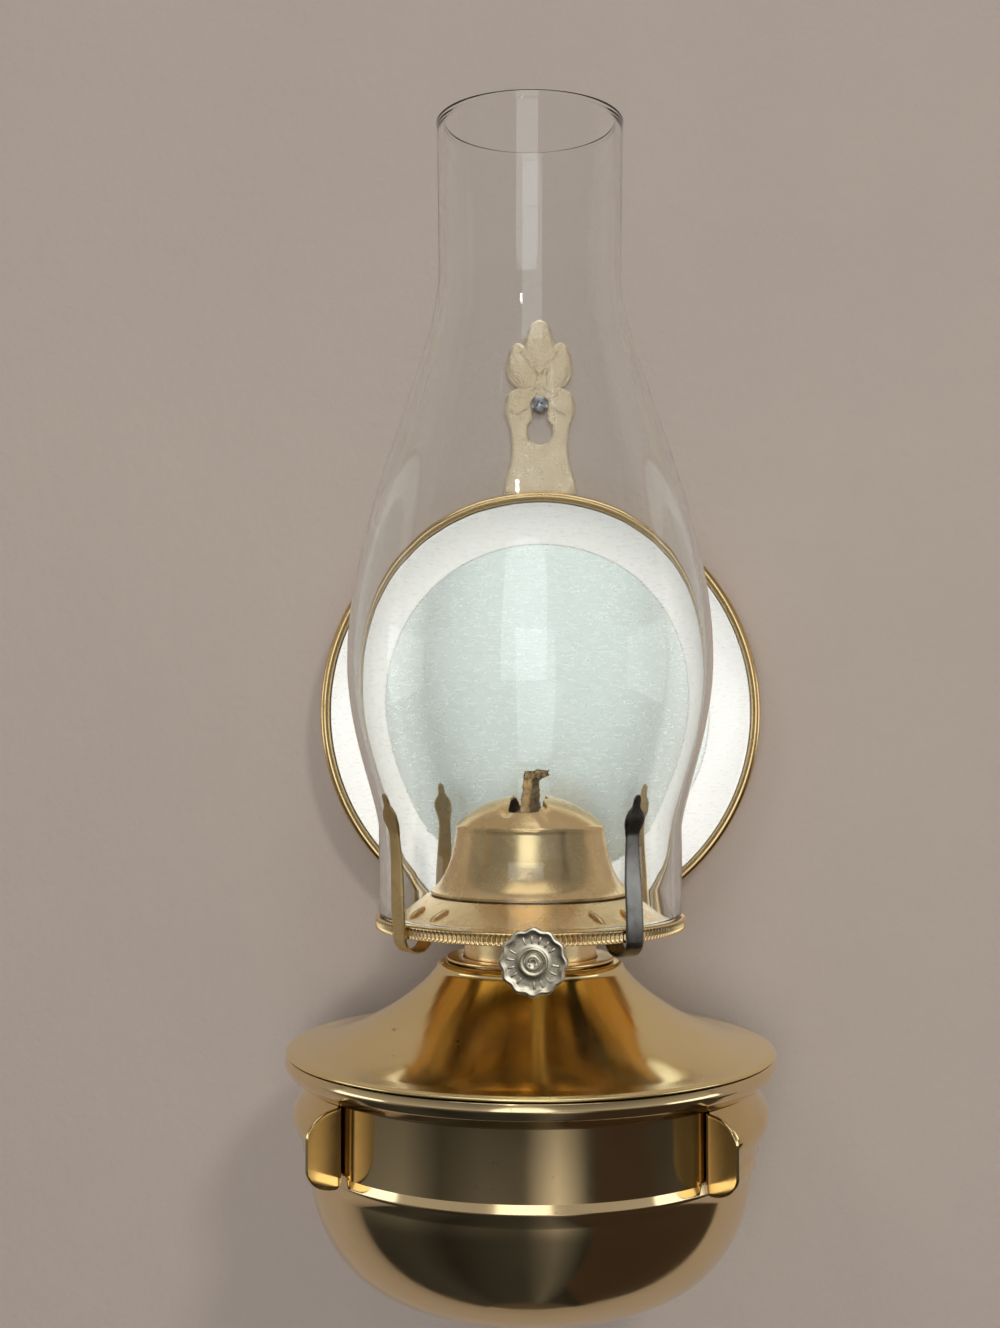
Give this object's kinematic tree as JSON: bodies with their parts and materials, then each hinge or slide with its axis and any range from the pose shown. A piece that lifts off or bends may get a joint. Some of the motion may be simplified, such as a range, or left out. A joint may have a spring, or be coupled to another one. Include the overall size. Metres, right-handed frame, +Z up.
{
  "type": "wall bracket oil lamp",
  "caption": "Wall-hung oil lamp: strap with reflector and spring clip, round tank, wick burner with thumbwheel and a removable glass chimney.",
  "frame": {"origin": "on the strap's wall face, level with the reflector's centre", "axes": "+Z up, +Y into the wall and -Y towards the room, +X to the right as seen from the room"},
  "size_m": [0.1232, 0.1242, 0.2902],
  "materials": {
    "strap_brass": "dull aged brass",
    "bright_brass": "polished, lightly tarnished brass",
    "silvered": "silvered, finely scratched",
    "prong_brass": "satin spring brass",
    "blued_steel": "blued spring steel",
    "nickel": "worn nickel plate",
    "cotton": "woven cotton",
    "glass": "clear blown glass"
  },
  "bodies": {
    "bracket": {"back_strap": "strap_brass", "reflector_frame": "bright_brass", "reflector_dish": "silvered", "reflector_rivet_upper": "strap_brass", "reflector_rivet_lower": "strap_brass", "clip_rivet_left": "strap_brass", "clip_rivet_right": "strap_brass", "font_clip": "bright_brass"},
    "font": {"tank_bowl": "bright_brass", "tank_shoulder": "bright_brass", "tank_collar": "bright_brass"},
    "burner": {"burner_base": "bright_brass", "air_basket": "bright_brass", "gallery": "bright_brass", "burner_dome": "bright_brass", "wick_tube": "bright_brass", "shaft_sleeve": "bright_brass", "prong_rear_right": "prong_brass", "prong_rear_left": "prong_brass", "prong_front_left": "prong_brass", "prong_front_right": "blued_steel"},
    "wheel": {"wick_shaft": "nickel", "thumbwheel": "nickel", "spur_wheel_1": "nickel", "spur_wheel_2": "nickel", "spur_wheel_3": "nickel", "spur_wheel_4": "nickel"},
    "wick": {"wick": "cotton"},
    "chimney": {"chimney": "glass"}
  },
  "joints": [
    {"name": "lamp_pull", "type": "slide", "parent": "bracket", "child": "font", "axis": [0, -1, 0], "range_m": [0, 0.13], "deforming": ["font_clip"]},
    {"name": "burner_lift", "type": "slide", "parent": "font", "child": "burner", "axis": [0, 0, 1], "range_m": [0, 0.12]},
    {"name": "chimney_lift", "type": "slide", "parent": "burner", "child": "chimney", "axis": [0, 0, 1], "range_m": [0, 0.06]},
    {"name": "thumbwheel_turn", "type": "hinge", "parent": "burner", "child": "wheel", "pos_m": [0.00619, -0.06393, -0.0557], "axis": [0.0698, 0.9976, 0], "range_deg": [-120, 180]},
    {"name": "wick_raise", "type": "slide", "parent": "burner", "child": "wick", "axis": [0, 0, 1], "range_m": [-0.0079, 0.012]}
  ],
  "couplings": [
    {"joint": "thumbwheel_turn", "follows": "wick_raise", "rad_per_m": 256.41}
  ]
}
